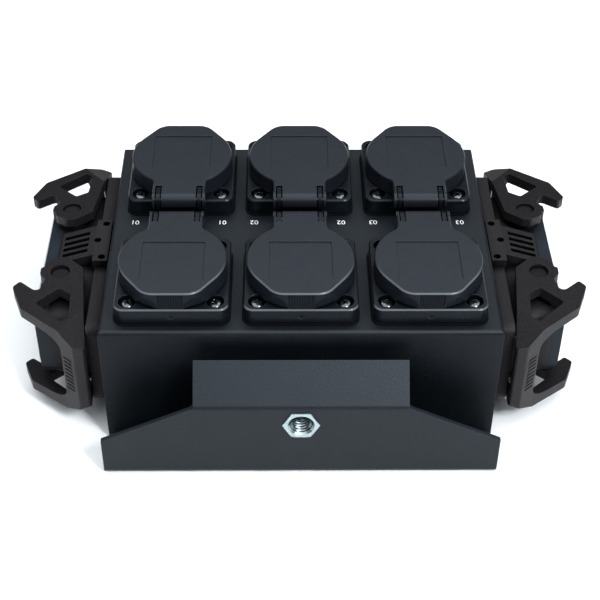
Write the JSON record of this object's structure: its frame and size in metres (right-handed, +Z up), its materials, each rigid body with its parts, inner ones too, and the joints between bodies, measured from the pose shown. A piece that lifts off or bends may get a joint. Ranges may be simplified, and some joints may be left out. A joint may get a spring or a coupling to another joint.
{
  "type": "power distribution box",
  "caption": "Flat sheet-metal power split box: lidded sockets on top, a lever-locked rectangular connector on each side, and a folded hanging bracket in front.",
  "frame": {"origin": "centre of the underside of the box, on the base plate", "axes": "+Z up through the socket lids, -Y towards the hanging bracket, +X towards the outlet connector"},
  "size_m": [0.2592, 0.161, 0.0825],
  "materials": {
    "coated_sheet": "fine textured powder coat, charcoal",
    "socket_plastic": "satin moulded plastic, black",
    "carrier_plastic": "moulded plastic, black",
    "lid_plastic": "satin moulded plastic, charcoal",
    "seal_rubber": "soft black rubber",
    "rim_rubber": "smooth dark rubber",
    "zinc_steel": "bright zinc plating",
    "spring_steel": "oiled spring steel",
    "brass": "bright brass",
    "housing_plastic": "grained glass-filled plastic, brownish black",
    "lever_plastic": "grained glass-filled plastic, brownish black",
    "insert_plastic": "matt moulded plastic, light grey",
    "wire_insulation": "flexible sheathing, black"
  },
  "bodies": {
    "box": {"enclosure_shell": "coated_sheet", "base_plate_bracket": "coated_sheet", "socket_base_front_1": "socket_plastic", "socket_base_back_1": "socket_plastic", "socket_base_front_2": "socket_plastic", "socket_base_back_2": "socket_plastic", "socket_base_front_3": "socket_plastic", "socket_base_back_3": "socket_plastic", "socket_carrier_front_1": "carrier_plastic", "socket_carrier_back_1": "carrier_plastic", "socket_carrier_front_2": "carrier_plastic", "socket_carrier_back_2": "carrier_plastic", "socket_carrier_front_3": "carrier_plastic", "socket_carrier_back_3": "carrier_plastic", "socket_gaskets": "seal_rubber", "connector_gasket_left": "seal_rubber", "connector_gasket_right": "seal_rubber", "connector_rim_seal_left": "rim_rubber", "connector_rim_seal_right": "rim_rubber", "clamp_nut": "zinc_steel", "base_screws": "zinc_steel", "earth_stud": "zinc_steel", "socket_screws": "zinc_steel", "flange_screws_left": "zinc_steel", "flange_screws_right": "zinc_steel", "hinge_pins": "spring_steel", "lid_springs": "spring_steel", "earth_clips": "spring_steel", "socket_contacts": "brass", "connector_contacts_left": "brass", "connector_contacts_right": "brass", "connector_housing_left": "housing_plastic", "connector_housing_right": "housing_plastic", "lever_pivots_left": "housing_plastic", "lever_pivots_right": "housing_plastic", "connector_insert_left": "insert_plastic", "connector_insert_right": "insert_plastic", "channel_wiring_1": "wire_insulation", "channel_wiring_2": "wire_insulation", "channel_wiring_3": "wire_insulation"},
    "lid_front_1": {"lid_front_1": "lid_plastic", "lid_seal_front_1": "seal_rubber"},
    "lid_back_1": {"lid_back_1": "lid_plastic", "lid_seal_back_1": "seal_rubber"},
    "lid_front_2": {"lid_front_2": "lid_plastic", "lid_seal_front_2": "seal_rubber"},
    "lid_back_2": {"lid_back_2": "lid_plastic", "lid_seal_back_2": "seal_rubber"},
    "lid_front_3": {"lid_front_3": "lid_plastic", "lid_seal_front_3": "seal_rubber"},
    "lid_back_3": {"lid_back_3": "lid_plastic", "lid_seal_back_3": "seal_rubber"},
    "lever_left_front": {"lever_left_front": "lever_plastic"},
    "lever_left_back": {"lever_left_back": "lever_plastic"},
    "lever_right_front": {"lever_right_front": "lever_plastic"},
    "lever_right_back": {"lever_right_back": "lever_plastic"}
  },
  "joints": [
    {"name": "lid_front_1_hinge", "type": "hinge", "parent": "box", "child": "lid_front_1", "pos_m": [-0.0562, -0.0074, 0.0785], "axis": [-1, 0, 0], "range_deg": [0, 90], "stiffness_Nm_per_rad": 0.015, "springref_deg": -28.65},
    {"name": "lid_back_1_hinge", "type": "hinge", "parent": "box", "child": "lid_back_1", "pos_m": [-0.0562, 0.0074, 0.0785], "axis": [1, 0, 0], "range_deg": [0, 90], "stiffness_Nm_per_rad": 0.015, "springref_deg": -28.65},
    {"name": "lid_front_2_hinge", "type": "hinge", "parent": "box", "child": "lid_front_2", "pos_m": [0, -0.0074, 0.0785], "axis": [-1, 0, 0], "range_deg": [0, 90], "stiffness_Nm_per_rad": 0.015, "springref_deg": -28.65},
    {"name": "lid_back_2_hinge", "type": "hinge", "parent": "box", "child": "lid_back_2", "pos_m": [0, 0.0074, 0.0785], "axis": [1, 0, 0], "range_deg": [0, 90], "stiffness_Nm_per_rad": 0.015, "springref_deg": -28.65},
    {"name": "lid_front_3_hinge", "type": "hinge", "parent": "box", "child": "lid_front_3", "pos_m": [0.0562, -0.0074, 0.0785], "axis": [-1, 0, 0], "range_deg": [0, 90], "stiffness_Nm_per_rad": 0.015, "springref_deg": -28.65},
    {"name": "lid_back_3_hinge", "type": "hinge", "parent": "box", "child": "lid_back_3", "pos_m": [0.0562, 0.0074, 0.0785], "axis": [1, 0, 0], "range_deg": [0, 90], "stiffness_Nm_per_rad": 0.015, "springref_deg": -28.65},
    {"name": "lever_left_front_pivot", "type": "hinge", "parent": "box", "child": "lever_left_front", "pos_m": [-0.1095, -0.0235, 0.0344], "axis": [0, 0, -1], "range_deg": [0, 40]},
    {"name": "lever_left_back_pivot", "type": "hinge", "parent": "box", "child": "lever_left_back", "pos_m": [-0.1095, 0.0235, 0.0344], "axis": [0, 0, 1], "range_deg": [0, 40]},
    {"name": "lever_right_front_pivot", "type": "hinge", "parent": "box", "child": "lever_right_front", "pos_m": [0.1095, -0.0235, 0.0344], "axis": [0, 0, 1], "range_deg": [0, 40]},
    {"name": "lever_right_back_pivot", "type": "hinge", "parent": "box", "child": "lever_right_back", "pos_m": [0.1095, 0.0235, 0.0344], "axis": [0, 0, -1], "range_deg": [0, 40]}
  ]
}
